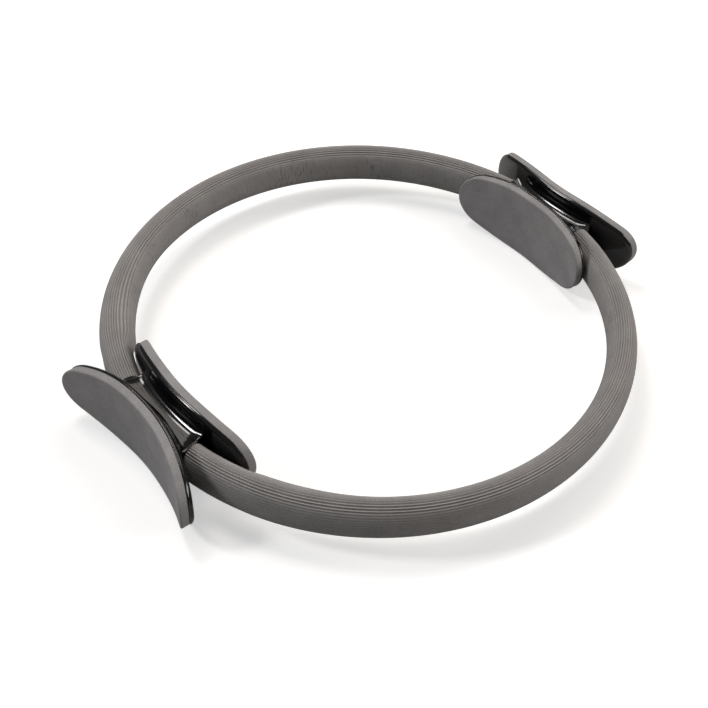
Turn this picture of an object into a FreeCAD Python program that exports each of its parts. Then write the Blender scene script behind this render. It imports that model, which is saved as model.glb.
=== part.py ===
import FreeCAD, Part
import math
import os

from FreeCAD import Vector

# A sprung exercise hoop with two double-faced handles, in millimetres.
# The hoop lies flat: X runs from the near handle (-X) to the far handle (+X), Z is up,
# and the origin is on the floor below the middle of the hoop.

# Hoop core: two flat strips that stand on edge and meet inside the handles
hoop_diameter = 356.0
core_inset = 2.4
core_straight = 50.0
strip_thickness = 3.0
strip_height = 20.0
strip_end_gap = 2.0
strip_clearance = 0.4

# Foam sleeves with fine ribs along their top and bottom
sleeve_width = 20.6
sleeve_height = 30.6
sleeve_end_gap = 0.5
sleeve_bends = 24
rib_count = 44
rib_depth = 0.5
rib_slope_share = 0.5

# Handle plates, bent about upright axes, with the outline of a long oval
plate_height = 55.0
plate_thickness = 3.0
plate_bevel = 0.8
outer_plate_length = 143.5
outer_bend_radius = 171.0
outer_end_share = 0.75
outer_sleeve_clearance = 0.4
inner_plate_length = 129.5
inner_bend_radius = 195.0
inner_end_share = 0.85
inner_sleeve_clearance = 0.6
foot_share = 0.2

# Foam pads glued on the plates
pad_thickness = 6.2
pad_inset = 0.5
pad_bevel = 1.0
glue_thickness = 0.15

# Hollow hub between the plates of a handle, split half-way between them
hub_length = 72.0
hub_wall = 2.6
hub_end_wall = 3.0
lip_width = 2.4
lip_rise = 1.0
cove_radius = 7.0
cove_facets = 4

# Screws that clamp the strips between the bosses of the two shells
screws_per_strip = 1
screw_spacing = 28.0
screw_radius = 1.5
screw_bite = 6.0
screw_head_radius = 2.8
screw_head_height = 1.8
screw_clearance = 0.15
strip_hole_clearance = 0.6
boss_wall = 2.0
boss_strip_gap = 0.05
pilot_spare = 1.0
bar_sides = 8

# How far a cutting shape runs past what it cuts
overrun = 1.0

UP = Vector(0, 0, 1)
ACROSS = Vector(1, 0, 0)

# Places that follow from the sizes above
hoop_radius = hoop_diameter / 2
core_x = hoop_radius - core_inset
plate_half_height = plate_height / 2
sleeve_half_width = sleeve_width / 2
boss_radius = screw_radius + boss_wall
cavity_half_height = strip_height / 2 + strip_clearance
hub_half_height = cavity_half_height + hub_wall
screw_places = [screw_spacing * (place + 1 / 2) for place in range(-screws_per_strip, screws_per_strip)]

# The core leaves its straight stretch on a bend that is tangent to the hoop's circle
straight_half_length = core_straight / 2
bend_radius = (hoop_radius**2 - core_x**2 - straight_half_length**2) / (2 * core_inset)
bend_centre = Vector(core_x - bend_radius, straight_half_length, 0)
bend_angle = math.atan2(bend_centre.y, bend_centre.x)

# Angles at the hoop's centre, from the X axis to the end of a hub and to what lies next to it
hub_angle = math.asin(hub_length / hoop_diameter)
lip_angle = hub_angle - lip_width / hoop_radius
wall_angle = hub_angle - hub_end_wall / hoop_radius
sleeve_angle = hub_angle + sleeve_end_gap / hoop_radius


def on_circle(centre, radius, angle):
    """Point at an angle on a circle that lies flat."""
    return centre + Vector(radius * math.cos(angle), radius * math.sin(angle), 0)


def flat_arc(centre, radius, start, end):
    """Arc that lies flat, between two angles."""
    middle = (start + end) / 2
    points = [on_circle(centre, radius, angle) for angle in (start, middle, end)]
    return Part.Arc(*points).toShape()


def flat_polygon(corners):
    """Face with straight edges through a ring of corners."""
    return Part.Face(Part.makePolygon(corners + corners[:1]))


def bend_depth(radius, y):
    """How far an upright plate bent to a radius has moved from its waist at a given Y."""
    return radius - math.sqrt(radius**2 - y**2)


class Side:
    """One face of a handle: +1 looks out of the hoop, -1 looks into it."""

    def __init__(self, sign, length, radius, end_share, clearance):
        self.sign = sign
        self.half_length = length / 2
        self.radius = radius
        self.end_radius = end_share * plate_half_height
        self.waist_x = self.waist(clearance)
        self.axis = Vector(self.waist_x + sign * radius, 0, 0)

    def waist(self, clearance):
        """X of the plate's hub face at its waist, placed so that the whole face stays off the sleeve."""
        edge_radius = hoop_radius + self.sign * sleeve_half_width
        start = on_circle(Vector(), edge_radius, sleeve_angle)
        at_start = self.sign * start.x - bend_depth(self.radius, start.y)
        plate_end_x = math.sqrt(edge_radius**2 - self.half_length**2)
        at_plate_end = self.sign * plate_end_x - bend_depth(self.radius, self.half_length)
        return self.sign * (max(at_start, at_plate_end) + clearance)


outer_side = Side(1, outer_plate_length, outer_bend_radius, outer_end_share, outer_sleeve_clearance)
inner_side = Side(-1, inner_plate_length, inner_bend_radius, inner_end_share, inner_sleeve_clearance)
split_x = (outer_side.waist_x + inner_side.waist_x) / 2
head_seat_x = outer_side.waist_x + plate_thickness - screw_clearance - screw_head_height
screw_tip_x = core_x - strip_thickness / 2 - screw_bite


def core_path(offset):
    """Edges of the back half of the core's line, moved outwards by an offset."""
    far_end = Vector(core_x + offset, strip_end_gap / 2, 0)
    far_bend = Vector(core_x + offset, straight_half_length, 0)
    near_bend = Vector(-far_bend.x, far_bend.y, 0)
    near_end = Vector(-far_end.x, far_end.y, 0)
    near_centre = Vector(-bend_centre.x, bend_centre.y, 0)
    return [
        Part.LineSegment(far_end, far_bend).toShape(),
        flat_arc(bend_centre, bend_radius + offset, 0, bend_angle),
        flat_arc(Vector(), hoop_radius + offset, bend_angle, math.pi - bend_angle),
        flat_arc(near_centre, bend_radius + offset, math.pi - bend_angle, math.pi),
        Part.LineSegment(near_bend, near_end).toShape(),
    ]


def core_band(thickness, height):
    """Upright band along the core's line, back half of the hoop."""
    outside = core_path(thickness / 2)
    inside = core_path(-thickness / 2)
    caps = []
    for end in (0, -1):
        corners = [edges[end].Vertexes[end].Point for edges in (outside, inside)]
        caps.append(Part.LineSegment(*corners).toShape())
    outline = Part.Wire(Part.__sortEdges__(outside + inside + caps))
    return Part.Face(outline).extrude(UP * height).translated(UP * (-height / 2))


def turned(shape):
    """Copy on the opposite side of the hoop."""
    return shape.rotated(Vector(), UP, 180)


def bar(radius, start_x, end_x, y):
    """Few-sided bar across the handle at a given Y, between two places on X."""
    corners = []
    for number in range(bar_sides):
        angle = 2 * math.pi * number / bar_sides
        corners.append(Vector(start_x, y + radius * math.cos(angle), radius * math.sin(angle)))
    return flat_polygon(corners).extrude(ACROSS * (end_x - start_x))


def core_strip():
    """Back core strip, with a row of screw holes at each end."""
    strip = core_band(strip_thickness, strip_height)
    hole_radius = screw_radius + strip_hole_clearance
    hole_reach = strip_thickness / 2 + overrun
    for y in screw_places[screws_per_strip:]:
        hole = bar(hole_radius, core_x - hole_reach, core_x + hole_reach, y)
        strip = strip.cut(hole).cut(hole.translated(ACROSS * (-2 * core_x)))
    return strip


def ribbed_oval():
    """(Across, up) pairs of an oval: crests on it, and grooves inside it except on its steep sides."""
    half_height = sleeve_height / 2
    evenness = (half_height - sleeve_half_width) / (half_height + sleeve_half_width) / 2
    points = []
    for step in range(2 * rib_count):
        turn = math.pi * step / rib_count
        angle = turn - evenness * math.sin(2 * turn)
        across = math.cos(angle)
        up = math.sin(angle)
        facing_up = abs(up) * sleeve_half_width / math.hypot(across * half_height, up * sleeve_half_width)
        if step % 2 == 0:
            points.append((sleeve_half_width * across, half_height * up))
        elif facing_up > rib_slope_share:
            points.append(((sleeve_half_width - rib_depth) * across, (half_height - rib_depth) * up))
    return points


def along_sleeve(points):
    """Solid with an (across, up) outline all along the back sleeve, in short straight stretches."""
    rings = []
    for number in range(sleeve_bends + 1):
        angle = sleeve_angle + (math.pi - 2 * sleeve_angle) * number / sleeve_bends
        corners = [on_circle(UP * up, hoop_radius + across, angle) for across, up in points]
        rings.append(Part.makePolygon(corners + corners[:1]))
    return Part.makeLoft(rings, True, True)


def sleeve():
    """Back foam sleeve: a ribbed oval, slotted for the strip."""
    slot_x = strip_thickness / 2 + strip_clearance
    slot_z = cavity_half_height
    slot = [(slot_x, slot_z), (-slot_x, slot_z), (-slot_x, -slot_z), (slot_x, -slot_z)]
    return along_sleeve(ribbed_oval()).cut(along_sleeve(slot))


def oval_face(half_length, half_height, foot_half, end_radius):
    """Long oval on an upright plane through the hoop's axis: straight foot, wide shoulders, round ends."""
    reach = half_length - end_radius - foot_half
    shoulder_radius = (reach**2 + half_height**2 - end_radius**2) / (2 * (half_height - end_radius))
    shoulder_z = half_height - shoulder_radius
    meeting = math.atan2(-shoulder_z, reach)

    def arc(y, z, radius, start, end):
        angles = (start, (start + end) / 2, end)
        points = [Vector(0, y + radius * math.cos(angle), z + radius * math.sin(angle)) for angle in angles]
        return Part.Arc(*points).toShape()

    quarter = math.pi / 2
    top = Part.LineSegment(Vector(0, -foot_half, half_height), Vector(0, foot_half, half_height)).toShape()
    end = [
        arc(foot_half, shoulder_z, shoulder_radius, quarter, meeting),
        arc(half_length - end_radius, 0, end_radius, meeting, -meeting),
        arc(foot_half, -shoulder_z, shoulder_radius, -meeting, -quarter),
    ]
    bottom = top.rotated(Vector(), ACROSS, 180)
    return Part.Face(Part.Wire(Part.__sortEdges__([top, bottom] + end + [turned(edge) for edge in end])))


def upright_cylinder(side, radius):
    """Cylinder about the bend axis of a plate, taller than the handle."""
    half_height = plate_half_height + overrun
    return Part.makeCylinder(radius, 2 * half_height, side.axis - UP * half_height, UP)


def bent_sheet(side, inset, depth, thickness):
    """Oval sheet bent round the plate's axis, a given depth behind the plate's hub face."""
    outline = oval_face(
        side.half_length - inset,
        plate_half_height - inset,
        foot_share * side.half_length,
        side.end_radius - inset,
    )
    front = upright_cylinder(side, side.radius - depth)
    ring = front.cut(upright_cylinder(side, side.radius - depth - thickness))
    prism = outline.translated(ACROSS * split_x).extrude(ACROSS * (side.sign * side.radius))
    return ring.common(prism)


def edges_at_radius(shape, side, radius):
    """Edges of a bent sheet that lie on one of its two curved faces."""
    found = []
    for edge in shape.Edges:
        offsets = [vertex.Point - side.axis for vertex in edge.Vertexes]
        if all(abs(math.hypot(offset.x, offset.y) - radius) < glue_thickness / 2 for offset in offsets):
            found.append(edge)
    return found


def plate(side):
    """Bent oval plate with a bevelled rim on the face towards the hub."""
    sheet = bent_sheet(side, 0, 0, plate_thickness)
    return sheet.makeChamfer(plate_bevel, edges_at_radius(sheet, side, side.radius))


def pad(side):
    """Foam pad that follows the plate, with a bevelled edge round its face."""
    depth = plate_thickness + glue_thickness
    sheet = bent_sheet(side, pad_inset, depth, pad_thickness)
    return sheet.makeChamfer(pad_bevel, edges_at_radius(sheet, side, side.radius - depth - pad_thickness))


def turned_about(side, outline):
    """Solid swept about the bend axis of a plate by an upright face at its waist."""
    sweep = math.degrees(math.asin(side.half_length / side.radius))
    return outline.rotated(side.axis, UP, -sweep).revolve(side.axis, UP, 2 * sweep)


def hub_block(side, front_x, half_angle):
    """Upright block from a place on X to well behind the plate, with ends square to the hoop."""
    slope = math.tan(half_angle)
    back_x = split_x + side.sign * hub_length
    plan = [(front_x, slope), (back_x, slope), (back_x, -slope), (front_x, -slope)]
    foot = flat_polygon([Vector(x, x * tilt, -plate_half_height) for x, tilt in plan])
    return foot.extrude(UP * plate_height)


def hub_sweep(side, rise):
    """Bar along the hub, with coves of a few facets up to the plate, grown outwards by a rise."""
    waist_z = hub_half_height + rise
    cove_z = hub_half_height + cove_radius
    arc_radius = cove_radius - rise
    root_radius = side.radius - plate_thickness / 2
    reach = side.radius + hub_length / 2

    def at(radius, z):
        return Vector(side.axis.x - side.sign * radius, 0, z)

    def cove(upward):
        points = []
        for facet in range(cove_facets + 1):
            angle = facet / cove_facets * math.pi / 2
            radius = side.radius + cove_radius - arc_radius * math.cos(angle)
            points.append(at(radius, upward * (cove_z - arc_radius * math.sin(angle))))
        return points

    behind = [at(root_radius, -cove_z), at(root_radius, cove_z)]
    front = [at(reach, waist_z), at(reach, -waist_z)]
    return turned_about(side, flat_polygon(behind + cove(1) + front + cove(-1)[::-1]))


def hub_half(side):
    """Half of the hub, with a raised lip at each end."""
    whole = hub_block(side, split_x, hub_angle)
    lips = whole.cut(hub_block(side, split_x - side.sign * overrun, lip_angle))
    return hub_sweep(side, 0).common(whole).fuse(hub_sweep(side, lip_rise).common(lips))


def cavity(side):
    """Hollow inside half a hub, open on the parting plane."""
    start_x = side.axis.x - side.sign * side.radius
    end_x = start_x - side.sign * hub_length / 2
    corners = [(start_x, 1), (end_x, 1), (end_x, -1), (start_x, -1)]
    outline = flat_polygon([Vector(x, 0, upward * cavity_half_height) for x, upward in corners])
    block = hub_block(side, split_x - side.sign * overrun, wall_angle)
    return turned_about(side, outline).common(block)


def strip_ways():
    """Room for the strips where they pass through the ends of a hub."""
    way = core_band(strip_thickness + 2 * boss_strip_gap, 2 * cavity_half_height)
    return [way, turned(way)]


def shell(side):
    """Moulded handle half: plate and half hub in one, hollow, with a boss at each screw."""
    body = plate(side).fuse(hub_half(side)).cut(cavity(side))
    boss_start = core_x + side.sign * strip_thickness / 2
    boss_end = side.waist_x + side.sign * plate_thickness / 2
    for y in screw_places:
        body = body.fuse(bar(boss_radius, boss_start, boss_end, y))
    for way in strip_ways():
        body = body.cut(way)
    return body.removeSplitter()


def outer_shell():
    """Shell on the outside of the hoop, bored and counterbored for the screws."""
    body = shell(outer_side)
    bore_radius = screw_radius + screw_clearance
    counterbore_radius = screw_head_radius + screw_clearance
    for y in screw_places:
        body = body.cut(bar(bore_radius, core_x, head_seat_x + overrun, y))
        body = body.cut(bar(counterbore_radius, head_seat_x, head_seat_x + pad_thickness, y))
    return body


def inner_shell():
    """Shell on the inside of the hoop, with a blind pilot hole in each boss."""
    body = shell(inner_side)
    pilot_radius = screw_radius + screw_clearance
    for y in screw_places:
        body = body.cut(bar(pilot_radius, core_x, screw_tip_x - pilot_spare, y))
    return body


def screw(y):
    """Pan-head screw from the outer shell through the strip into the inner shell."""
    shank = bar(screw_radius, screw_tip_x, head_seat_x, y)
    return shank.fuse(bar(screw_head_radius, head_seat_x, head_seat_x + screw_head_height, y))


def main():
    """Build each piece once, place its copies and write one file per piece."""
    far_pieces = {
        "outer_shell": outer_shell(),
        "inner_shell": inner_shell(),
        "outer_pad": pad(outer_side),
        "inner_pad": pad(inner_side),
        "screws": Part.makeCompound([screw(y) for y in screw_places]),
    }
    back_pieces = {"sleeve": sleeve(), "core_strip": core_strip()}
    pieces = {}
    for name, shape in far_pieces.items():
        pieces["far_" + name] = shape
        pieces["near_" + name] = turned(shape)
    for name, shape in back_pieces.items():
        pieces["back_" + name] = shape
        pieces["front_" + name] = turned(shape)
    os.makedirs("parts", exist_ok=True)
    for name, shape in pieces.items():
        placed = shape.translated(UP * plate_half_height)
        placed.exportStep("parts/" + name + ".step")
        print(name, len(placed.Solids), "solids", round(placed.Volume), "mm3", "valid", placed.isValid())
    print("plate waists", round(outer_side.waist_x, 2), round(inner_side.waist_x, 2))
    print("core bend radius", round(bend_radius, 1), "to", round(math.degrees(bend_angle), 2), "degrees")
    print("hub ends at", round(math.degrees(hub_angle), 2), "degrees")


main()
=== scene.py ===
"""Dress the pilates ring in its real surfaces.

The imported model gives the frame: the places, the bodies and the squeeze of the two handles. The
classes below work out the ribbed foam sleeves, the core strips, the moulded handle shells and the
foam pads as closed numpy surfaces, in metres and in the same frame, and give each its finish.
"""

import logging
import math
from collections.abc import Callable
from dataclasses import dataclass, field
from enum import Enum

import bpy
import numpy as np
from mathutils import Matrix, Vector


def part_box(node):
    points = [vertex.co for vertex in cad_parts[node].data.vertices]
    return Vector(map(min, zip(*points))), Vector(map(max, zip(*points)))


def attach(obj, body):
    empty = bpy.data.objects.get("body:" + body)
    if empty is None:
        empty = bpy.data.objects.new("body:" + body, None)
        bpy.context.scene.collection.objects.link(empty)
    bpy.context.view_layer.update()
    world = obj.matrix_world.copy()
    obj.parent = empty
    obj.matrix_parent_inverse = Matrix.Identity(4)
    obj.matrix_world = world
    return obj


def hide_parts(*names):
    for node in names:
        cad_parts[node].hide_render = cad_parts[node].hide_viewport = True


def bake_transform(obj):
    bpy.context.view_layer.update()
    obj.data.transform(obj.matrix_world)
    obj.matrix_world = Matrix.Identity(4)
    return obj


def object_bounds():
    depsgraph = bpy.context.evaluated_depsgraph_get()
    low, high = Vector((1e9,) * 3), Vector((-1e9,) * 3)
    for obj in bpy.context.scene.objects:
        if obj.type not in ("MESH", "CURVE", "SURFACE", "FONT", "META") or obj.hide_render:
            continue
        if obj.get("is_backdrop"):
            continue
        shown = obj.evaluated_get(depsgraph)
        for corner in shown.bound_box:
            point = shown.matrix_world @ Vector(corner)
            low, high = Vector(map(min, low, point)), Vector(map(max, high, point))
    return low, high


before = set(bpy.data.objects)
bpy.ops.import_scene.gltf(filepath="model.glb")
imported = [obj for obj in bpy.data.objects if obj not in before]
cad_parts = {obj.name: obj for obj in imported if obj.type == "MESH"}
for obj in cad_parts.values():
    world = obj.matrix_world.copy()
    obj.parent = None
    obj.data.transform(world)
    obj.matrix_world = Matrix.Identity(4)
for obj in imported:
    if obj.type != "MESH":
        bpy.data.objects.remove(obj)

LOG = logging.getLogger("pilates_ring")
MM = 0.001
QUARTER_TURN = math.pi / 2
WHITE = (1.0, 1.0, 1.0, 1.0)

Array = np.ndarray
Material = bpy.types.Material
Materials = dict[str, Material]
Obj = bpy.types.Object
Socket = bpy.types.NodeSocket
Tree = bpy.types.NodeTree
Pair = tuple[float, float]


class Named(Enum):
    """A choice whose name is part of the nodes' names."""

    @property
    def label(self) -> str:
        """Give the name as the nodes spell it."""
        return self.name.lower()


class Handle(Named):
    """The two handles. The value is the sign of their place along X."""

    FAR = 1
    NEAR = -1

    @property
    def body(self) -> str:
        """Give the name of the body that moves with the handle."""
        return f"{self.label}_handle"


class Half(Named):
    """The two halves of the hoop. The value is the sign of their place along Y."""

    BACK = 1
    FRONT = -1


class Facing(Named):
    """The two sides of a handle. The value is the direction from the hoop's line, as a sign."""

    OUTER = 1
    INNER = -1


def eased(value: Array, low: float, high: float) -> Array:
    """Rise smoothly from 0 at low to 1 at high: three t squared less two t cubed, t the share."""
    share = np.clip((value - low) / (high - low), 0.0, 1.0)
    return share * share * (3.0 - 2.0 * share)


def on_circle(angle: Array) -> Array:
    """Give the cosine and sine of each angle, along a new last axis."""
    return np.stack([np.cos(angle), np.sin(angle)], axis=-1)


def unit(vectors: Array) -> Array:
    """Bring vectors, along the last axis, to length 1."""
    return vectors / np.linalg.norm(vectors, axis=-1, keepdims=True)


def travelled(line: Array) -> Array:
    """Give the length of a line up to each of its points."""
    return np.concatenate([[0.0], np.cumsum(np.linalg.norm(np.diff(line, axis=0), axis=1))])


def placed(name: str, data: bpy.types.ID) -> Obj:
    """Make an object and put it in the scene, at the origin.

    Args:
        name: Name of the object.
        data: Its mesh, lamp or camera.

    Returns:
        The object.
    """
    obj = bpy.data.objects.new(name, data)
    bpy.context.scene.collection.objects.link(obj)
    return obj


@dataclass
class Surface:
    """A closed surface of quads, with triangles round its poles."""

    points: Array
    quads: Array
    triangles: Array

    @classmethod
    def from_rings(cls, rings: Array, poles: Array) -> "Surface":
        """Join closed rings in order, and close both ends with a fan round a pole.

        The signed volume is a sixth of the sum of each corner triangle's triple product. Where it
        is negative, the corners are taken in the other order, so that the faces point outwards.

        Args:
            rings: Grid of places: ring, place round the ring, then x, y and z.
            poles: Middles of the first and of the last ring.

        Returns:
            The closed surface.
        """
        count, around = rings.shape[:2]
        index = np.arange(count * around).reshape(count, around)
        beside = np.roll(index, -1, axis=1)
        quads = np.stack([index[:-1], beside[:-1], beside[1:], index[1:]], axis=-1).reshape(-1, 4)
        first, last = (np.full(around, index.size + number) for number in range(2))
        triangles = np.concatenate([
            np.stack([beside[0], index[0], first], axis=-1),
            np.stack([index[-1], beside[-1], last], axis=-1),
        ])
        points = np.concatenate([rings.reshape(-1, 3), poles])
        corners = np.concatenate([quads[:, [0, 1, 2]], quads[:, [0, 2, 3]], triangles])
        one, two, three = np.moveaxis((points - points.mean(axis=0))[corners], 1, 0)
        if np.sum(one * np.cross(two, three)) < 0:
            quads, triangles = quads[:, ::-1], triangles[:, ::-1]
        return cls(points, quads, triangles)

    def with_other(self, other: "Surface") -> "Surface":
        """Put another closed surface beside this one, in the same piece."""
        shift = len(self.points)
        return Surface(
            np.concatenate([self.points, other.points]),
            np.concatenate([self.quads, other.quads + shift]),
            np.concatenate([self.triangles, other.triangles + shift]),
        )

    def piece(self, name: str, sign: int, material: Material, sharp_degrees: float) -> Obj:
        """Make the mesh object, smooth but for the edges that turn by more than an angle.

        Args:
            name: Name of the piece.
            sign: -1 to turn it half round about the hoop's axis, 1 to leave it.
            material: Finish of the piece.
            sharp_degrees: Edges that turn by more than this stay sharp.

        Returns:
            The object, in the scene and at the origin.
        """
        mesh = bpy.data.meshes.new(name)
        faces = [*self.quads.tolist(), *self.triangles.tolist()]
        mesh.from_pydata(self.points * [sign, sign, 1], [], faces, shade_flat=False)
        mesh.validate()
        mesh.set_sharp_from_angle(angle=math.radians(sharp_degrees))
        mesh.materials.append(material)
        return placed(name, mesh)


def add_values(obj: Obj, name: str, values: Array) -> None:
    """Keep one number for each vertex in the mesh, by a name, for its finish to read."""
    attribute = obj.data.attributes.new(name, "FLOAT", "POINT")
    attribute.data.foreach_set("value", values.astype(np.float32))


def linear(hex_colour: str) -> tuple[float, float, float, float]:
    """Turn an sRGB hex colour to linear red, green, blue and a full alpha.

    Up to 0.04045 a channel is divided by 12.92. Above, it is (c + 0.055) / 1.055 to the power 2.4.

    Args:
        hex_colour: Colour as #rrggbb.

    Returns:
        The four linear channels.
    """
    channels = np.array([int(hex_colour[at:at + 2], 16) for at in (1, 3, 5)]) / 255.0
    curve = np.where(channels <= 0.04045, channels / 12.92, ((channels + 0.055) / 1.055) ** 2.4)
    return (*map(float, curve), 1.0)


def add_node(tree: Tree, kind: str, inputs: dict, **settings: str) -> bpy.types.Node:
    """Add a shader node, with its settings, socket values and links.

    Args:
        tree: Node tree to add to.
        kind: Blender's name for the kind of node.
        inputs: For each socket, by name or number, a value or an output socket to link from.
        settings: Attributes of the node.

    Returns:
        The new node.
    """
    node = tree.nodes.new(kind)
    for name, value in settings.items():
        setattr(node, name, value)
    for socket, value in inputs.items():
        if isinstance(value, Socket):
            tree.links.new(value, node.inputs[socket])
        else:
            node.inputs[socket].default_value = value
    return node


def pattern_scale(size_mm: float) -> float:
    """Give the texture scale, in cells a metre, for a pattern of a real size in millimetres."""
    return 1.0 / (size_mm * MM)


def object_place(tree: Tree) -> Socket:
    """Give the place on the piece, in metres."""
    return add_node(tree, "ShaderNodeTexCoord", {}).outputs["Object"]


def maths(tree: Tree, operation: str, *values: Socket | float) -> Socket:
    """Calculate with numbers or sockets."""
    inputs = dict(enumerate(values))
    return add_node(tree, "ShaderNodeMath", inputs, operation=operation).outputs[0]


def noise(tree: Tree, place: Socket, scale: float, detail: float, roughness: float) -> Socket:
    """Look a noise pattern up at a place."""
    inputs = {"Vector": place, "Scale": scale, "Detail": detail, "Roughness": roughness}
    return add_node(tree, "ShaderNodeTexNoise", inputs).outputs["Fac"]


def mapped(tree: Tree, value: Socket, limits: Pair, ends: Pair, course: str = "LINEAR") -> Socket:
    """Map a value from between two limits to between two ends, which it keeps outside them."""
    inputs = dict(enumerate((value, *limits, *ends)))
    return add_node(tree, "ShaderNodeMapRange", inputs, interpolation_type=course).outputs[0]


def mixed(tree: Tree, share: Socket, first: str, last: str) -> Socket:
    """Mix two hex colours: the first at a share of 0, the last at 1."""
    inputs = {"Factor": share, 6: linear(first), 7: linear(last)}
    return add_node(tree, "ShaderNodeMix", inputs, data_type="RGBA").outputs[2]


def bumped(tree: Tree, height: Socket, depth_mm: float, strength: float) -> Socket:
    """Give the normals of a surface with a relief of a real depth."""
    inputs = {"Height": height, "Distance": depth_mm * MM, "Strength": strength}
    return add_node(tree, "ShaderNodeBump", inputs).outputs["Normal"]


def new_material(name: str, looks: Callable[[Tree, Socket], dict]) -> Material:
    """Make a material of one shader.

    Args:
        name: Name of the material.
        looks: Builds the nodes before the shader and gives its values and links.

    Returns:
        The material.
    """
    material = bpy.data.materials.new(name)
    material.use_nodes = True
    tree = material.node_tree
    tree.nodes.clear()
    shader = add_node(tree, "ShaderNodeBsdfPrincipled", looks(tree, object_place(tree)))
    add_node(tree, "ShaderNodeOutputMaterial", {"Surface": shader.outputs["BSDF"]})
    return material


@dataclass(frozen=True)
class Finish:
    """What all finishes share: the material's name and its lighter and darker colour."""

    name: str
    light: str
    dark: str

    def looks(self, tree: Tree, place: Socket) -> dict:
        """Build the finish's own nodes, and say what its shader gets."""
        raise NotImplementedError

    def material(self) -> Material:
        """Build the material."""
        return new_material(self.name, self.looks)


@dataclass(frozen=True)
class ClosedCellFoam(Finish):
    """EVA foam, cut from a sheet or drawn through a die.

    Its closed cells give a soft grey with a fine grain, faint cloudy patches and a low, blurred
    shine. Cell walls have the light colour and the open pits of cut cells the dark one. Real cells
    are about 0.3 mm, too fine to show, so the grain is drawn larger.
    """

    grain_mm: float = 0.9
    patch_mm: float = 16.0
    pit_depth_mm: float = 0.12

    def relief(self, tree: Tree, grain: Socket) -> tuple[Socket, Socket | float]:
        """Give the foam's height and the share of its colour left by painted light and shade: on a
        sheet, all of it.
        """
        return grain, 1.0

    def looks(self, tree: Tree, place: Socket) -> dict:
        """Let grain and patches tint the colour, painted light and shade scale it, and the grain
        roughen the surface.

        Args:
            tree: Node tree to add to.
            place: Place on the piece.

        Returns:
            Values and links of the shader.
        """
        grain = noise(tree, place, pattern_scale(self.grain_mm), 3.0, 0.6)
        patch = noise(tree, place, pattern_scale(self.patch_mm), 2.0, 0.5)
        both = maths(tree, "MULTIPLY_ADD", patch, 0.55, grain)
        tone = mapped(tree, both, (0.5, 1.05), (0.0, 1.0))
        colour = mixed(tree, tone, self.dark, self.light)
        height, painted_shade_share = self.relief(tree, grain)
        scaled = {0: colour, "Scale": painted_shade_share}
        # The colour, lightened and darkened by the relief's painted light and shade.
        painted_shade_colour = add_node(tree, "ShaderNodeVectorMath", scaled, operation="SCALE")
        return {
            "Base Color": painted_shade_colour.outputs["Vector"], "IOR": 1.5,
            "Roughness": mapped(tree, grain, (0.0, 1.0), (0.66, 0.5)),
            "Normal": bumped(tree, height, self.pit_depth_mm, 0.6),
        }


@dataclass(frozen=True)
class SleeveFoam(ClosedCellFoam):
    """EVA foam drawn as a ribbed tube and pushed over the bent strip.

    The crests of its ribs are painted lighter and its grooves darker: painted light and painted
    shade. On the inside of the bend the foam is pressed together, which gives it short, fine
    creases across its length, with painted shade in them.
    """

    rib_painted_shading: float = 0.3  # painted highlight on a crest and painted shade in a groove, as a share of the colour
    crease_mm: float = 1.5  # spacing along the hoop
    crease_length_mm: float = 9.0
    crease_depth: float = 4.0  # in depths of the grain
    crease_shade: float = 0.5  # painted shade: share of the colour that is lost at the bottom of a crease

    def relief(self, tree: Tree, grain: Socket) -> tuple[Socket, Socket | float]:
        """Add ribs and creases: creases are noise drawn out across the sleeve, where it is low.

        Args:
            tree: Node tree to add to.
            grain: Height of the foam's grain.

        Returns:
            Height of grain and creases together, and the share of the foam's colour that shows
            after the painted light on crests and the painted shade in grooves and creases.
        """
        along, around, pressed, rib = (
            add_node(tree, "ShaderNodeAttribute", {}, attribute_name=name).outputs["Fac"]
            for name in ("along", "around", "pressed", "rib"))
        cells = add_node(tree, "ShaderNodeCombineXYZ", {
            "X": maths(tree, "MULTIPLY", along, pattern_scale(self.crease_mm)),
            "Y": maths(tree, "MULTIPLY", around, pattern_scale(self.crease_length_mm)),
        })
        folds = noise(tree, cells.outputs[0], 1.0, 1.0, 0.5)
        furrow = mapped(tree, folds, (0.32, 0.46), (1.0, 0.0), "SMOOTHSTEP")
        crease = maths(tree, "MULTIPLY", furrow, pressed)
        height = maths(tree, "MULTIPLY_ADD", crease, -self.crease_depth, grain)
        # Painted light on the rib crests and painted shade in the grooves scale the colour.
        rib_light_and_shade = maths(tree, "MULTIPLY_ADD", rib, self.rib_painted_shading, 1.0)
        # Painted shade darkens the colour at the bottom of each crease.
        return height, maths(tree, "MULTIPLY_ADD", crease, -self.crease_shade, rib_light_and_shade)


@dataclass(frozen=True)
class MouldedAbs(Finish):
    """ABS moulded in a polished tool: deep black and glossy, with a moulded skin's faint waves."""

    wave_mm: float = 9.0
    wave_depth_mm: float = 0.02
    haze_mm: float = 22.0  # patches where handling has dulled the gloss

    def looks(self, tree: Tree, place: Socket) -> dict:
        """Let haze change colour and gloss a little, and waves bend the reflections.

        Args:
            tree: Node tree to add to.
            place: Place on the piece.

        Returns:
            Values and links of the shader.
        """
        haze = noise(tree, place, pattern_scale(self.haze_mm), 4.0, 0.55)
        wave = noise(tree, place, pattern_scale(self.wave_mm), 1.0, 0.4)
        skin = bumped(tree, wave, self.wave_depth_mm, 0.5)
        return {
            "Base Color": mixed(tree, haze, self.dark, self.light), "IOR": 1.53, "Normal": skin,
            "Roughness": mapped(tree, haze, (0.3, 0.7), (0.1, 0.17)),
            "Coat Weight": 0.25, "Coat Roughness": 0.05, "Coat IOR": 1.5, "Coat Normal": skin,
        }


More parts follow.
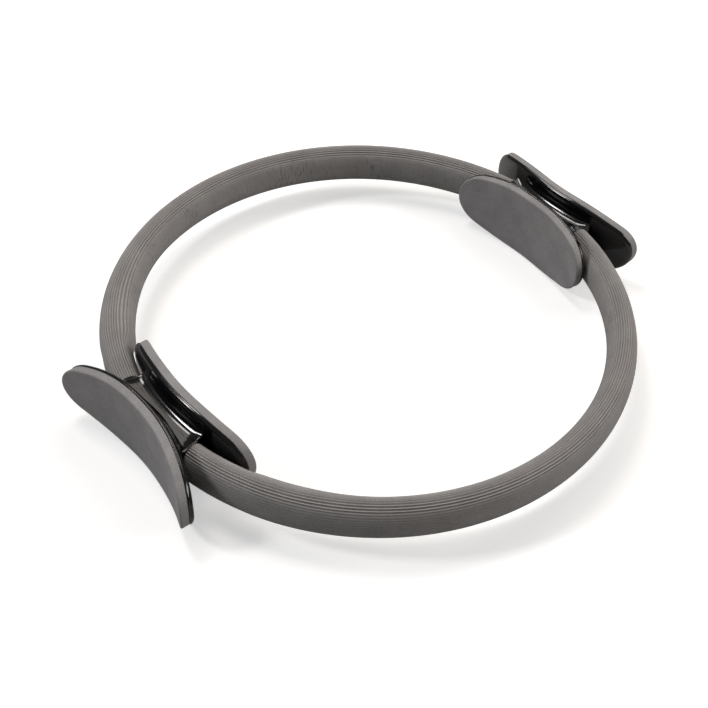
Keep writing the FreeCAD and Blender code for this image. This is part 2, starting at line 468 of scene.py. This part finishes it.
@dataclass(frozen=True)
class Fibreglass(Finish):
    """Pultruded glass fibre: pale resin, streaked by fine lengthwise strands, with a dull skin."""

    strand_mm: float = 0.8  # height of a bundle of strands
    strand_length_mm: float = 60.0  # over which a streak stays the same
    strand_depth_mm: float = 0.05

    def looks(self, tree: Tree, place: Socket) -> dict:
        """Let noise drawn out along the hoop tint the resin and roughen the skin.

        Args:
            tree: Node tree to add to.
            place: Place on the piece.

        Returns:
            Values and links of the shader.
        """
        along = pattern_scale(self.strand_length_mm)
        cells = add_node(tree, "ShaderNodeMapping", {
            "Vector": place, "Scale": (along, along, pattern_scale(self.strand_mm)),
        })
        strand = noise(tree, cells.outputs["Vector"], 1.0, 3.0, 0.6)
        return {
            "Base Color": mixed(tree, strand, self.dark, self.light), "IOR": 1.55,
            "Roughness": 0.5, "Normal": bumped(tree, strand, self.strand_depth_mm, 0.3),
        }


@dataclass(frozen=True)
class ZincSteel(Finish):
    """Zinc-plated steel: bright grey metal, slightly cloudy where the plating lies thicker."""

    cloud_mm: float = 1.5

    def looks(self, tree: Tree, place: Socket) -> dict:
        """Let clouds change the metal's tint and gloss.

        Args:
            tree: Node tree to add to.
            place: Place on the piece.

        Returns:
            Values and links of the shader.
        """
        cloud = noise(tree, place, pattern_scale(self.cloud_mm), 2.0, 0.5)
        return {
            "Base Color": mixed(tree, cloud, self.dark, self.light), "Metallic": 1.0,
            "Roughness": mapped(tree, cloud, (0.0, 1.0), (0.25, 0.4)),
        }


FINISHES = {
    "sleeve_foam": SleeveFoam("EVA_foam_drawn_tube", "#a09d9c", "#868382"),
    "pad_foam": ClosedCellFoam("EVA_foam_cut_sheet", "#a5a3a4", "#828081"),
    "black_abs": MouldedAbs("moulded_ABS_gloss_black", "#0c0c0d", "#060607"),
    "fibreglass": Fibreglass("pultruded_fibreglass", "#dcd8c2", "#c3bd9f"),
    "zinc_steel": ZincSteel("zinc_plated_steel", "#cfd0d2", "#a9abae"),
}


@dataclass
class HoopLine:
    """Sizes of the hoop that sleeves, strips and hubs share."""

    radius: float = 178 * MM  # of the sleeve's centre line
    hub_length: float = 72 * MM  # across the hoop, end to end
    end_gap: float = 0.5 * MM  # between a hub and a sleeve
    mid_height: float = field(  # of the hoop's middle plane above the floor
        default_factory=lambda: float(sum(corner.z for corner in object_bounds())) / 2)

    @property
    def hub_angle(self) -> float:
        """Give the angle from X at which a hub ends, seen from the hoop's centre."""
        return math.asin(self.hub_length / 2 / self.radius)

    @property
    def sleeve_angle(self) -> float:
        """Give the angle from X at which a sleeve starts."""
        return self.hub_angle + self.end_gap / self.radius

    @property
    def handle_reach(self) -> float:
        """Give the distance of the sleeves' ends from the middle, along X."""
        return self.radius * math.cos(self.sleeve_angle)

    def carried(self, across: Array, up: Array, angle: Array) -> Array:
        """Carry outlines round the hoop's axis, at the radius plus the place across, outwards."""
        x, y = (self.radius + across) * np.cos(angle), (self.radius + across) * np.sin(angle)
        return np.stack([x, y, up + self.mid_height], axis=-1)

    def bend(self, obj: Obj) -> None:
        """Bake the piece's placement into its mesh."""
        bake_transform(obj)


@dataclass
class FoamSleeve:
    """Ribbed foam tube over one half of the hoop.

    Past the tip of the near handle's inner plate, which presses it, the foam swells towards the
    middle. Its swell is how far, and the angles from that handle, in degrees, at which this
    starts, is full, starts to fade and ends. The limits are parts of the outward direction.
    """

    half: Half
    line: HoopLine
    swell: tuple[float, float, float, float, float]
    half_size: Pair = (10.3 * MM, 15.3 * MM)  # of the oval, across the hoop and up
    rib_count: int = 44
    rib_depth: float = 0.7 * MM  # of the grooves on the top and bottom
    rib_limits: Pair = (0.48, 0.74)  # upward, where the depth starts to grow and is full
    groove_share: float = 0.9  # of the way from a crest over which the foam falls
    outer_depth_share: float = 0.22  # of the depth, on the flatter side away from the middle
    inner_depth_share: float = 0.04  # on the side to the middle, which the bend presses smooth
    crease_degrees: tuple[float, ...] = (50.0, 70.0, 76.0, 105.0, 123.0, 138.0)
    crease_spread: float = 2.4  # of such a cluster of creases, in degrees
    crease_rest: float = 0.25  # strength between the clusters
    crease_inward: Pair = (0.45, 0.9)  # inward, where creases start and are full
    crease_down: Pair = (-0.75, -0.2)  # downward, where creases start and are full
    outer_swell_share: float = 0.22  # of the swelling, on the side away from the middle
    swell_limits: Pair = (0.3, 0.95)  # sideways, where the swelling starts and is full
    end_round: float = 0.7 * MM  # of the cut ends
    stations: int = 300  # rings along the sleeve
    rib_points: int = 6
    round_rings: int = 5  # over each rounded end
    first_turn: float = -math.pi / 3  # on the ellipse, where the first rib starts
    fine_points: int = 4001  # at which the ellipse's length is measured
    sharp_degrees: float = 60.0

    def outline(self) -> tuple[Array, Array, Array]:
        """Work out the ribbed oval.

        An ellipse is divided into even lengths, and each point moves inwards by the groove's depth
        times a smooth rise from a rib's crest to the groove. The depth fades on the sides.

        Returns:
            Places (across, up) round the oval, the outward directions there, and 1 on crests, -1
            in grooves and 0 on the sides.
        """
        count = self.rib_count * self.rib_points
        fine = np.linspace(0.0, 2 * math.pi, self.fine_points) + self.first_turn
        length = travelled(on_circle(fine) * self.half_size)
        angle = np.interp(np.arange(count) / count * length[-1], length, fine)
        outward = unit(on_circle(angle) / self.half_size)
        from_crest = np.abs(2.0 * (np.arange(count) / self.rib_points % 1.0) - 1.0)
        side = np.where(outward[:, 0] > 0, self.outer_depth_share, self.inner_depth_share)
        strength = side + (1 - side) * eased(np.abs(outward[:, 1]), *self.rib_limits)
        valley = eased(from_crest, 0.0, self.groove_share)
        depth = self.rib_depth * strength * valley
        oval = on_circle(angle) * self.half_size - outward * depth[:, None]
        return oval, outward, strength * (1 - 2 * valley)

    def rings(self) -> tuple[Array, Array]:
        """Work out where the rings stand and how far each is drawn in.

        Over a rounded end the distance from the end is the rounding times one less the sine of an
        angle, and the ring is drawn in by the rounding times one less the cosine.

        Returns:
            Angle of each ring about the hoop's axis, and how far it is drawn in.
        """
        turn = np.linspace(QUARTER_TURN, 0.0, self.round_rings)
        ends = self.line.sleeve_angle + self.end_round * (1 - np.sin(turn)) / self.line.radius
        insets = self.end_round * (1 - np.cos(turn))
        middle = np.linspace(ends[-1], math.pi - ends[-1], self.stations)[1:-1]
        angles = np.concatenate([ends, middle, math.pi - ends[::-1]])
        return angles, np.concatenate([insets, np.zeros(len(middle)), insets[::-1]])

    def swollen(self, angles: Array, outward: Array) -> Array:
        """Work out the swelling by the near handle: full on the inner side, less on the outer.

        Args:
            angles: Angle of each ring.
            outward: Outward direction at each place round the oval.

        Returns:
            Way away from the middle, across the hoop's line, for each ring and place.
        """
        from_near = np.degrees(angles if self.half is Half.FRONT else math.pi - angles)
        depth, start, full, fading, end = self.swell
        along = depth * eased(from_near, start, full) * (1 - eased(from_near, fading, end))
        inner, outer = (eased(sign * outward[:, 0], *self.swell_limits) for sign in (-1, 1))
        return along[:, None] * (self.outer_swell_share * outer - inner)

    def pressed(self, angles: Array, outward: Array) -> Array:
        """Tell where the bend has creased the foam: on the inner side, mostly in a few clusters.

        Each cluster is a bell curve of the distance along the hoop from its middle.

        Args:
            angles: Angle of each ring.
            outward: Outward direction at each place round the oval.

        Returns:
            Strength from 0 to 1 for each ring and place.
        """
        away = (np.degrees(angles)[:, None] - self.crease_degrees) / self.crease_spread
        clusters = np.exp(-(away**2)).max(axis=1)
        inward, down = eased(-outward[:, 0], *self.crease_inward), -outward[:, 1]
        low_inside = inward * eased(down, *self.crease_down)
        return (self.crease_rest + (1 - self.crease_rest) * clusters)[:, None] * low_inside

    def build(self, materials: Materials) -> Obj:
        """Build the sleeve, dress it and bake its placement into its mesh.

        Args:
            materials: Materials of the ring, by slot.

        Returns:
            The piece.
        """
        oval, outward, rib = self.outline()
        angles, insets = self.rings()
        drawn_in = oval - outward * insets[:, None, None]
        across = drawn_in[..., 0] + self.swollen(angles, outward)
        places = self.line.carried(across, drawn_in[..., 1], angles[:, None])
        poles = self.line.carried(np.zeros(2), np.zeros(2), angles[[0, -1]])
        node = f"{self.half.label}_sleeve"
        obj = Surface.from_rings(places, poles).piece(
            f"{node}_foam", self.half.value, materials["sleeve_foam"], self.sharp_degrees)
        grids = {
            "along": (angles * self.line.radius)[:, None], "around": travelled(oval), "rib": rib,
            "pressed": self.pressed(angles, outward),
        }
        for name, grid in grids.items():
            values = np.broadcast_to(grid, places.shape[:2])
            add_values(obj, name, np.concatenate([values.ravel(), np.zeros(len(poles))]))
        self.line.bend(obj)
        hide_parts(node)
        return obj


@dataclass
class CoreStrip:
    """Flat strip on edge inside a sleeve, which springs the hoop."""

    half: Half
    line: HoopLine
    size: Pair = (3 * MM, 20 * MM)  # thickness and height
    end_gap: float = 2 * MM  # between the ends of the two strips inside a hub
    inset: float = 2.4 * MM  # of the straight ends from the hoop's line, towards the middle
    edge_round: float = 0.5 * MM
    edge_points: int = 4  # over each rounded edge
    stations: int = 120  # rings along the strip
    sharp_degrees: float = 35.0

    def path(self) -> tuple[Array, Array]:
        """Work out the strip's line: straight inside the hubs, round between them.

        It is the hoop's circle in even steps of angle, cut off at the straight ends' X.

        Returns:
            Places (x, y) along the line, and the outward directions there.
        """
        start = math.asin(self.end_gap / 2 / self.line.radius)
        line = self.line.radius * on_circle(np.linspace(start, math.pi - start, self.stations))
        limit = self.line.radius - self.inset
        line[:, 0] = np.clip(line[:, 0], -limit, limit)
        heading = unit(np.gradient(line, axis=0))
        return line, heading[:, ::-1] * [1, -1]

    def section(self) -> Array:
        """Work out the strip's cross section, a rectangle with quarter rounds at its corners.

        Returns:
            Places (across, up) round the section.
        """
        turn = np.linspace(0.0, QUARTER_TURN, self.edge_points)
        corner = np.array(self.size) / 2 - self.edge_round + self.edge_round * on_circle(turn)
        back = corner[::-1]
        return np.concatenate([corner, back * [-1, 1], corner * [-1, -1], back * [1, -1]])

    def build(self, materials: Materials) -> Obj:
        """Build the strip, dress it and bake its placement into its mesh.

        Args:
            materials: Materials of the ring, by slot.

        Returns:
            The piece.
        """
        line, outward = self.path()
        section = self.section()
        flat = line[:, None] + outward[:, None] * section[None, :, :1]
        up = np.broadcast_to(section[:, 1:] + self.line.mid_height, (*flat.shape[:2], 1))
        places = np.concatenate([flat, up], axis=-1)
        node = f"{self.half.label}_core_strip"
        obj = Surface.from_rings(places, places[[0, -1]].mean(axis=1)).piece(
            f"{node}_band", self.half.value, materials["fibreglass"], self.sharp_degrees)
        self.line.bend(obj)
        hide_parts(node)
        return obj


@dataclass
class HandleSide:
    """The bent upright sheet that a plate and its pad follow, for the far handle."""

    facing: Facing
    bend_radius: float  # of the plate's face towards the hub
    end_share: float  # radius of the oval's round ends, as a share of half its height
    line: HoopLine
    plate_thickness: float = 3 * MM
    pad_thickness: float = 6.2 * MM
    pad_inset: float = 0.5 * MM  # of the pad's outline from the plate's
    glue: float = 0.15 * MM  # thickness under the pad
    foot_share: float = 0.2  # half the straight foot, as a share of half the plate's length
    quarter_points: int = 72  # along a quarter of the outline
    face_rings: int = 22
    first_share: float = 0.04  # of the outline, to which the innermost ring of a face shrinks
    crowding: float = 0.8  # power that crowds the rings of a face
    edge_rings: int = 7  # over each rounded edge
    dome_power: int = 5

    def __post_init__(self) -> None:
        """Read the plate's place and size from the far pad's solid in the frame."""
        low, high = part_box(f"far_{self.facing.label}_pad")
        back = low.x if self.facing is Facing.OUTER else high.x
        self.waist = back - self.facing.value * (self.plate_thickness + self.glue)
        self.axis_x = self.waist + self.facing.value * self.bend_radius
        self.half_length = (high.y - low.y) / 2 + self.pad_inset
        self.half_height = (high.z - low.z) / 2 + self.pad_inset

    def outline(self) -> tuple[Array, Array]:
        """Work out the plate's oval: straight foot, wide shoulder arc and round end, four times.

        The shoulder touches the straight top and the end circle. With the reach from the foot's
        end to the end circle's middle, its radius is reach squared plus half height squared less
        end radius squared, over twice the half height less the end radius. Each piece gets places
        in step with its length.

        Returns:
            Places (y, z) round the oval, and the outward directions there.
        """
        end_radius = self.end_share * self.half_height
        foot = self.foot_share * self.half_length
        reach = self.half_length - end_radius - foot
        rise = self.half_height - end_radius
        shoulder = (reach**2 + self.half_height**2 - end_radius**2) / (2 * rise)
        meeting = math.atan2(shoulder - self.half_height, reach)
        lengths = [foot, shoulder * (QUARTER_TURN - meeting), end_radius * meeting]
        top_end, shoulder_end, whole_length = np.cumsum(lengths)
        along = np.linspace(0.0, whole_length, self.quarter_points + 1)
        on_foot, on_shoulder = along < top_end, (along >= top_end) & (along < shoulder_end)
        down_shoulder = QUARTER_TURN - (along - top_end) / shoulder
        angle = np.where(on_shoulder, down_shoulder, (whole_length - along) / end_radius)
        angle = np.where(on_foot, QUARTER_TURN, angle)
        radius = np.where(on_shoulder, shoulder, end_radius)
        middle_y = np.where(on_shoulder, foot, self.half_length - end_radius)
        middle_z = np.where(on_shoulder, self.half_height - shoulder, 0.0)
        y = np.where(on_foot, along, middle_y + radius * np.cos(angle))
        z = np.where(on_foot, self.half_height, middle_z + radius * np.sin(angle))
        quarter = np.stack([y, z, np.cos(angle), np.sin(angle)], axis=-1)
        back = quarter[::-1]
        quarters = (quarter, back * [1, -1, 1, -1], quarter * -1, back * [-1, 1, -1, 1])
        whole = np.concatenate([part[:-1] for part in quarters])
        return whole[:, :2], whole[:, 2:]

    def on_sheet(self, flat: Array, depth: Array) -> Array:
        """Bend flat places: X is off the bend's axis by the root of radius squared less y squared.

        Args:
            flat: Places (y, z) across the hoop and above its middle plane.
            depth: Depth behind the face that looks to the hub. It shortens the radius.

        Returns:
            Places, with x, y and z along the last axis.
        """
        y, z = flat[..., 0], flat[..., 1]
        x = self.axis_x - self.facing.value * np.sqrt((self.bend_radius - depth) ** 2 - y**2)
        return np.stack([x, y, z + self.line.mid_height], axis=-1)

    def sheet(self, depths: Pair, rounds: Pair, inset: float, dome: float) -> Surface:
        """Close a sheet, ring by ring from its first face's middle over its edge to the other's.

        Over each rounded edge the inset is the rounding times one less the sine, and the depth the
        rounding times one less the cosine, of an angle from nothing to a quarter turn. A domed
        last face falls by a power of the share of the way to its edge.

        Args:
            depths: Depth of the first and of the last face behind the face to the hub.
            rounds: Rounding of the edges of the first and of the last face.
            inset: Inset of the sheet's edge from the plate's outline.
            dome: How far the last face falls towards its edge.

        Returns:
            The closed sheet, with a pole in the middle of each face.
        """
        face = np.linspace(self.first_share, 1.0, self.face_rings) ** self.crowding
        inwards = face[-2::-1]
        turn = np.linspace(0.0, QUARTER_TURN, self.edge_rings)
        drawn_in, sunk = 1 - np.sin(turn), 1 - np.cos(turn)
        edge_insets = inset + np.concatenate([rounds[0] * drawn_in, rounds[1] * drawn_in[::-1]])
        insets = np.pad(edge_insets, len(inwards), mode="edge")
        shares = np.concatenate([face[:-1], np.ones(len(edge_insets)), inwards])
        depth = np.concatenate([
            np.full(len(inwards), depths[0]), depths[0] + rounds[0] * sunk,
            depths[1] - (dome + rounds[1] * sunk[::-1]),
            depths[1] - dome * inwards**self.dome_power,
        ])
        outline, outward = self.outline()
        flat = (outline - outward * insets[:, None, None]) * shares[:, None, None]
        poles = self.on_sheet(np.zeros((2, 2)), depth[[0, -1]])
        return Surface.from_rings(self.on_sheet(flat, depth[:, None]), poles)

    def on_bend(self, radius: Array, angle: Array, up: Array) -> Array:
        """Put places at a radius and an angle round the bend's axis, above the middle plane."""
        x = self.axis_x - self.facing.value * radius * np.cos(angle)
        return np.stack([x, radius * np.sin(angle), up + self.line.mid_height], axis=-1)


@dataclass
class FoamPad:
    """Foam pad on one plate of one handle."""

    handle: Handle
    side: HandleSide
    face_round: float = 1.3 * MM  # edge of the face that the hand holds
    back_round: float = 0.4 * MM  # edge at the glue
    dome: float = 0.25 * MM  # how far the face falls towards its edge
    sharp_degrees: float = 50.0

    def build(self, materials: Materials) -> Obj:
        """Build the pad, dress it and fix it to its handle.

        Args:
            materials: Materials of the ring, by slot.

        Returns:
            The piece.
        """
        back = self.side.plate_thickness + self.side.glue
        depths = back, back + self.side.pad_thickness
        rounds = self.back_round, self.face_round
        pad = self.side.sheet(depths, rounds, self.side.pad_inset, self.dome)
        node = f"{self.handle.label}_{self.side.facing.label}_pad"
        obj = pad.piece(
            f"{node}_foam", self.handle.value, materials["pad_foam"], self.sharp_degrees)
        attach(obj, self.handle.body)
        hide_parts(node)
        return obj


@dataclass
class HandleShell:
    """Moulded half of a handle: a bent oval plate and half of the hub that holds the hoop."""

    handle: Handle
    side: HandleSide
    split_x: float  # parting plane between the two halves, on the far handle
    rim_round: float = 2.6 * MM  # plate's edge on the side of the hub
    back_round: float = 0.3 * MM  # plate's edge under the pad
    hub_half_height: float = 13.0 * MM  # at its waist
    cove_radius: float = 7.0 * MM  # of the hollow between hub and plate
    lip_rise: float = 1.5 * MM  # of the collar at each end of the hub
    lip_width: float = 9.0 * MM  # length of the collar's slope
    lip_round: float = 1.4 * MM
    lip_turn: Pair = (0.5, 1.4)  # angles over the hollow between which the rise grows
    root: float = 1.5 * MM  # how far the hub reaches into the plate
    edge_step: float = 0.05 * MM  # from the flat top to the parting face, and at the root
    parting_gap: float = 0.02 * MM  # shows as the fine line between the halves
    pole_depth: float = 0.7 * MM  # of the end faces' middle inside the plate
    cove_points: int = 18
    flat_points: int = 5  # over the flat top
    stations: int = 90  # rings along the hub
    crowding: float = 1.7  # power that crowds them towards the ends
    sharp_degrees: float = 40.0

    def collar(self, from_end: Array) -> Array:
        """Work out the hub's flare, by the square of the way up the slope, to a rounded edge.

        Args:
            from_end: Distance from the hub's end.

        Returns:
            Rise at each distance.
        """
        slope = np.clip(1 - from_end / self.lip_width, 0.0, 1.0) ** 2
        short = np.maximum(self.lip_round - from_end, 0.0)
        return self.lip_rise * slope - (self.lip_round - np.sqrt(self.lip_round**2 - short**2))

    def upper_profile(
            self, half_depth: Array, rise: Array) -> tuple[Array, Array]:
        """Work out the upper edge of the hub's section, from inside the plate to the parting plane.

        Over the hollow, depth is its radius less the inner radius times the cosine, and height the
        hub's half height plus the radius less the inner radius times the sine. The inner radius is
        the radius less the rise, which fades towards the plate. A flat top follows, then the
        parting face.

        Args:
            half_depth: Distance from the plate's face to the parting plane, for each ring.
            rise: Rise of the collar, for each ring.

        Returns:
            Depth towards the parting plane and height of each place, ring by ring.
        """
        turn = np.linspace(0.0, QUARTER_TURN, self.cove_points)
        inner = self.cove_radius - rise[:, None] * eased(turn, *self.lip_turn)
        edge = (half_depth - self.parting_gap)[:, None]
        flat = np.linspace(0.0, 1.0, self.flat_points + 1)[1:]
        top = (self.hub_half_height + rise)[:, None]
        cove_top = self.hub_half_height + self.cove_radius
        ones = np.ones_like(top)
        depth = np.concatenate([
            ones * [-self.root, -self.edge_step], self.cove_radius - inner * np.cos(turn),
            self.cove_radius + (edge - self.edge_step - self.cove_radius) * flat, edge, edge,
        ], axis=1)
        height = np.concatenate([
            ones * np.full(2, cove_top + self.root), cove_top - inner * np.sin(turn),
            top * np.ones(self.flat_points), top - self.edge_step, top / 2,
        ], axis=1)
        return depth, height

    def end_angle(self, radius: Array) -> Array:
        """Give the angle about the bend's axis at which a circle meets the hub's slanted end."""
        angle, sign = self.side.line.hub_angle, self.side.facing.value
        return np.arcsin(self.side.axis_x * math.sin(angle) / radius) - sign * angle

    def hub(self) -> Surface:
        """Carry the hub's section along the plate's bend, from one slanted end to the other.

        Each place keeps its depth, so it runs on a circle about the bend's axis, and ends where
        that circle meets the upright plane through the hoop's axis at the hub's angle: the sine of
        the place's angle plus the hub's angle is the axis' distance times the sine of the hub's
        angle, over the circle's radius.

        Returns:
            The closed half of the hub.
        """
        bend_radius = self.side.bend_radius
        share = np.linspace(-1.0, 1.0, self.stations)
        share = np.sign(share) * (1 - (1 - np.abs(share)) ** self.crowding)
        face_end = self.end_angle(np.array(bend_radius))
        from_end = (1 - np.abs(share)) * face_end * bend_radius
        to_split = self.side.facing.value * (self.side.axis_x - self.split_x)
        half_depth = to_split / np.cos(share * face_end) - bend_radius
        depth, height = self.upper_profile(half_depth, self.collar(from_end))
        radius = bend_radius + np.concatenate([depth, depth[:, ::-1]], axis=1)
        height = np.concatenate([height, -height[:, ::-1]], axis=1)
        rings = self.side.on_bend(radius, share[:, None] * self.end_angle(radius), height)
        # The end faces fan out from a point just inside the plate, which sees their whole hollow.
        pole_radius = np.full(2, bend_radius - self.pole_depth)
        pole_angle = np.array([-1.0, 1.0]) * self.end_angle(pole_radius)
        return Surface.from_rings(rings, self.side.on_bend(pole_radius, pole_angle, np.zeros(2)))

    def build(self, materials: Materials) -> Obj:
        """Build plate and hub as one moulding, dress it and fix it to its handle.

        Args:
            materials: Materials of the ring, by slot.

        Returns:
            The piece.
        """
        rounds = self.rim_round, self.back_round
        plate = self.side.sheet((0.0, self.side.plate_thickness), rounds, 0.0, 0.0)
        node = f"{self.handle.label}_{self.side.facing.label}_shell"
        obj = plate.with_other(self.hub()).piece(
            f"{node}_moulding", self.handle.value, materials["black_abs"], self.sharp_degrees)
        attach(obj, self.handle.body)
        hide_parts(node)
        return obj


@dataclass
class Screws:
    """The screws inside a handle, kept as the frame has them."""

    handle: Handle

    def build(self, materials: Materials) -> Obj:
        """Dress the screws.

        Args:
            materials: Materials of the ring, by slot.

        Returns:
            The piece.
        """
        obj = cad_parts[f"{self.handle.label}_screws"]
        obj.data.materials.clear()
        obj.data.materials.append(materials["zinc_steel"])
        return obj


@dataclass
class SoftLamp:
    """A flat soft box that looks at the middle of the ring."""

    name: str
    towards: tuple[float, float, float]  # direction from the ring to the lamp
    distance: float
    size: Pair
    radiance: float  # brightness of its face, where 1 is white
    colour: str

    def build(self, middle: Vector) -> None:
        """Hang the lamp. Its power is radiance times area times pi.

        Args:
            middle: Point to look at.
        """
        lamp = bpy.data.lights.new(self.name, "AREA")
        lamp.shape = "RECTANGLE"
        lamp.size, lamp.size_y = self.size
        lamp.energy = self.radiance * self.size[0] * self.size[1] * math.pi
        lamp.color = linear(self.colour)[:3]
        obj = placed(self.name, lamp)
        direction = Vector(self.towards).normalized()
        obj.location = middle + self.distance * direction
        obj.rotation_euler = direction.to_track_quat("Z", "Y").to_euler()


@dataclass
class Studio:
    """Pale floor, soft lamps and the camera of the photograph.

    The floor adds a glow of its own towards the camera, so that it comes out white. The glow rises
    to 1 away from the ring, where there is no shadow to keep.
    """

    middle: Vector  # of the hoop, on which the camera looks
    azimuth: float = -42.2  # camera's angles, in degrees: at 0 it looks along +Y
    elevation: float = 43.74
    roll: float = 3.65  # about the camera's own axis
    distance: float = 0.8346
    focal_pixels: float = 1173.7
    picture_pixels: float = 708.0  # side of the square picture
    centre_pixel: Pair = (370.5, 312.6)  # where the middle of the hoop comes
    sensor_mm: float = 36.0
    far_clip: float = 50.0
    floor_size: float = 12.0
    floor_lines: int = 9
    floor_seen: str = "#f0f0f0"  # floor as the camera sees it
    floor_lit: str = "#b0b0b0"  # floor for the light that it throws back at the ring
    floor_glow: float = 0.5
    glow_rise: Pair = (0.4, 1.0)  # distances from the middle between which the glow rises
    sky: float = 0.05  # light of the room from all round
    mirrored: float = 0.15  # share of the white surround that reflections show

    def brightness(self, tree: Tree, lit: float, seen: float) -> Socket:
        """Give a surround a brightness for its light, one for the camera and one for reflections.

        Args:
            tree: Node tree to add to.
            lit: Brightness for the light that it sends to the ring.
            seen: Brightness for rays from the camera. Reflections and glass show a share of it.

        Returns:
            Socket with the brightness.
        """
        path = add_node(tree, "ShaderNodeLightPath", {}).outputs
        through = maths(tree, "MAXIMUM", path["Is Glossy Ray"], path["Is Transmission Ray"])
        shiny = maths(tree, "MULTIPLY_ADD", through, self.mirrored * seen - lit, lit)
        return maths(tree, "MULTIPLY_ADD", path["Is Camera Ray"], seen - lit, shiny)

    def paper(self, tree: Tree, place: Socket) -> dict:
        """Make matt paper, dull and even, which glows for the camera and keeps the shadow.

        Args:
            tree: Node tree to add to.
            place: Place on the floor.

        Returns:
            Values and links of the shader.
        """
        shown = self.brightness(tree, 0.0, 1.0)
        away = add_node(tree, "ShaderNodeVectorMath", {0: place}, operation="LENGTH")
        glow = mapped(tree, away.outputs["Value"], self.glow_rise, (self.floor_glow, 1.0))
        return {
            "Base Color": mixed(tree, shown, self.floor_lit, self.floor_seen),
            "Roughness": 0.95, "Specular IOR Level": 0.0,
            "Emission Color": WHITE, "Emission Strength": maths(tree, "MULTIPLY", shown, glow),
        }

    def floor(self) -> None:
        """Lay the floor, a flat grid below the ring."""
        side = np.linspace(-self.floor_size / 2, self.floor_size / 2, self.floor_lines)
        x, y = np.meshgrid(side, side)
        index = np.arange(x.size).reshape(x.shape)
        corners = [index[:-1, :-1], index[:-1, 1:], index[1:, 1:], index[1:, :-1]]
        faces = np.stack(corners, axis=-1).reshape(-1, 4)
        points = np.stack([x, y, np.zeros_like(x)], axis=-1).reshape(-1, 3)
        mesh = bpy.data.meshes.new("studio_floor")
        mesh.from_pydata(points, [], faces.tolist())
        mesh.materials.append(new_material("matt_white_paper", self.paper))
        obj = placed("studio_floor", mesh)
        obj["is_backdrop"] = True

    def room(self) -> None:
        """Light the room evenly, and show it white to the camera."""
        world = bpy.data.worlds.new("studio_room")
        world.use_nodes = True
        tree = world.node_tree
        tree.nodes.clear()
        strength = self.brightness(tree, self.sky, 1.0)
        light = add_node(tree, "ShaderNodeBackground", {"Color": WHITE, "Strength": strength})
        add_node(tree, "ShaderNodeOutputWorld", {"Surface": light.outputs["Background"]})
        bpy.context.scene.world = world

    def lamps(self) -> None:
        """Hang the soft boxes: a warm one behind, others above, left and at the right front."""
        boxes = (
            SoftLamp("soft_box_behind", (0.52, 0.33, 0.79), 1.6, (1.6, 0.9), 1.7, "#fff7ee"),
            SoftLamp("soft_box_above", (-0.05, 0.45, 0.89), 3.0, (0.8, 0.8), 10.5, "#fffaf5"),
            SoftLamp("soft_box_left", (-0.62, 0.45, 0.64), 3.0, (0.5, 0.6), 31.0, "#ffffff"),
            SoftLamp("soft_box_right", (0.66, -0.6, 0.45), 3.0, (1.6, 1.6), 5.0, "#fffaf5"),
        )
        for box in boxes:
            box.build(self.middle)

    def camera(self) -> None:
        """Place the camera. Its back points from the middle along azimuth and elevation.

        The lens is the focal length in pixels as a share of the picture, times the sensor's width.
        The shift is the distance of the hoop's middle from the picture's, as a share of the
        picture. Last, the camera rolls.
        """
        azimuth, elevation = math.radians(self.azimuth), math.radians(self.elevation)
        level = math.cos(elevation)
        back = Vector((
            math.sin(azimuth) * level, -math.cos(azimuth) * level, math.sin(elevation)))
        data = bpy.data.cameras.new("photograph_view")
        data.sensor_width = self.sensor_mm
        data.sensor_fit = "HORIZONTAL"
        data.lens = self.sensor_mm * self.focal_pixels / self.picture_pixels
        data.shift_x = 0.5 - self.centre_pixel[0] / self.picture_pixels
        data.shift_y = self.centre_pixel[1] / self.picture_pixels - 0.5
        data.clip_end = self.far_clip
        obj = placed("photograph_view", data)
        roll = Matrix.Rotation(math.radians(self.roll), 3, "Z")
        turn = back.to_track_quat("Z", "Y").to_matrix() @ roll
        obj.matrix_world = Matrix.Translation(self.middle + self.distance * back) @ turn.to_4x4()
        bpy.context.scene.camera = obj

    def build(self) -> None:
        """Set up floor, room, lamps and camera, and show colours as they are written."""
        self.floor()
        self.room()
        self.lamps()
        self.camera()
        bpy.context.scene.view_settings.view_transform = "Standard"


def main() -> None:
    """Build the ring piece by piece, then the studio."""
    logging.basicConfig(level=logging.INFO, format="%(name)s: %(message)s")
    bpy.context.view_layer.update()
    line = HoopLine()
    materials = {slot: finish.material() for slot, finish in FINISHES.items()}
    outer = HandleSide(Facing.OUTER, 171 * MM, 0.75, line)
    inner = HandleSide(Facing.INNER, 195 * MM, 0.85, line)
    split_x = (outer.waist + inner.waist) / 2
    swells = {
        Half.BACK: (3.1 * MM, 23.3, 27.5, 32.0, 66.0),
        Half.FRONT: (1.1 * MM, 23.5, 29.0, 33.0, 54.0),
    }
    parts = [
        *(FoamSleeve(half, line, swells[half]) for half in Half),
        *(CoreStrip(half, line) for half in Half),
        *(HandleShell(handle, side, split_x) for handle in Handle for side in (outer, inner)),
        *(FoamPad(handle, side) for handle in Handle for side in (outer, inner)),
        *(Screws(handle) for handle in Handle),
    ]
    for part in parts:
        obj = part.build(materials)
        LOG.info("%s: %d faces", obj.name, len(obj.data.polygons))
    Studio(Vector((0.0, 0.0, line.mid_height))).build()


if __name__ == "__main__":
    main()
